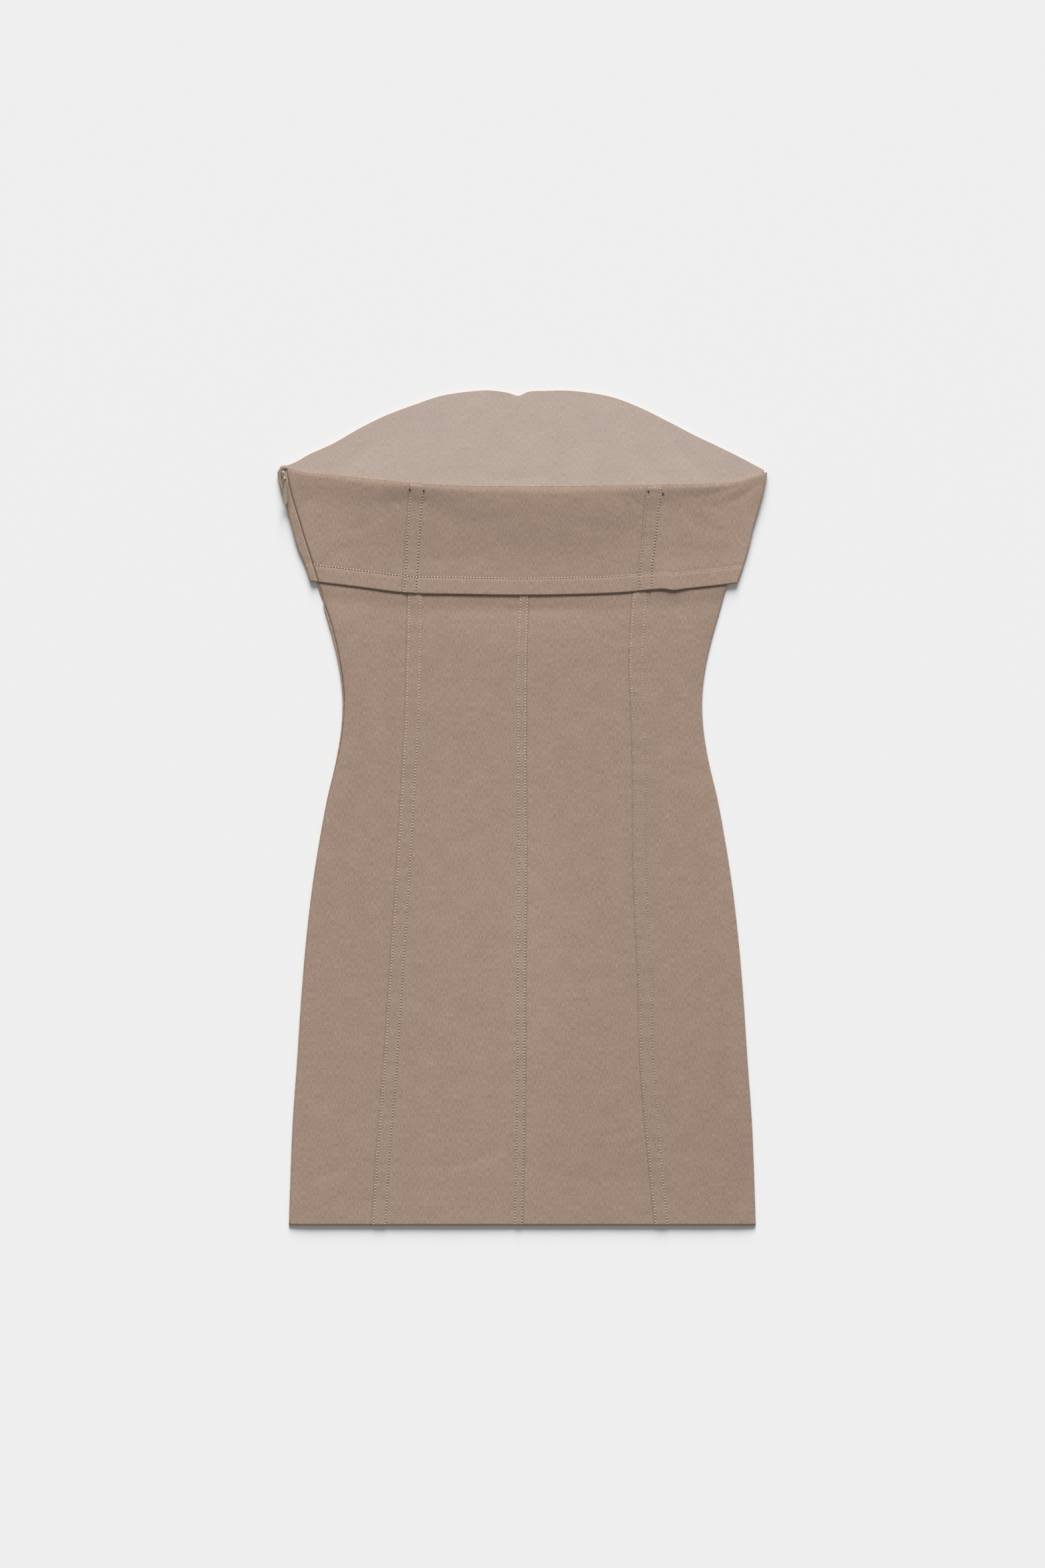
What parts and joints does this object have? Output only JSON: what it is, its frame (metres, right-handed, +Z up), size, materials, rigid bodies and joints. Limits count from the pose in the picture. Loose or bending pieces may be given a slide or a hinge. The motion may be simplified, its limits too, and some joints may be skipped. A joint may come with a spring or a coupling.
{
  "type": "off-shoulder mini dress, laid flat",
  "caption": "Strapless fitted mini dress with a fold-over band, laid flat back side up, with a side zip and a sweetheart inner facing.",
  "frame": {"origin": "middle of the laid-out dress, on the surface that it lies on", "axes": "+X to the right of the dress seen from above, +Y from the hem to the neckline, +Z up from the surface, out of the back of the dress"},
  "size_m": [0.4556, 0.7764, 0.0105],
  "materials": {
    "shell": "matt woven cotton",
    "facing": "smooth plain weave",
    "zip_metal": "satin lacquer"
  },
  "bodies": {
    "dress": {"back_centre_left": "shell", "back_centre_right": "shell", "back_side_left": "shell", "back_side_right": "shell", "front_centre": "shell", "front_side_left": "shell", "front_side_right": "shell", "band_back_left": "shell", "band_back_centre": "shell", "band_back_right": "shell", "band_front": "shell", "front_facing": "facing", "zip_slider": "zip_metal"},
    "zip_pull": {"zip_pull": "zip_metal"}
  },
  "joints": [
    {"name": "pull_hinge", "type": "hinge", "parent": "dress", "child": "zip_pull", "pos_m": [-0.221, 0.3056, 0.009], "axis": [-1, 0, 0], "range_deg": [0, 150]}
  ]
}
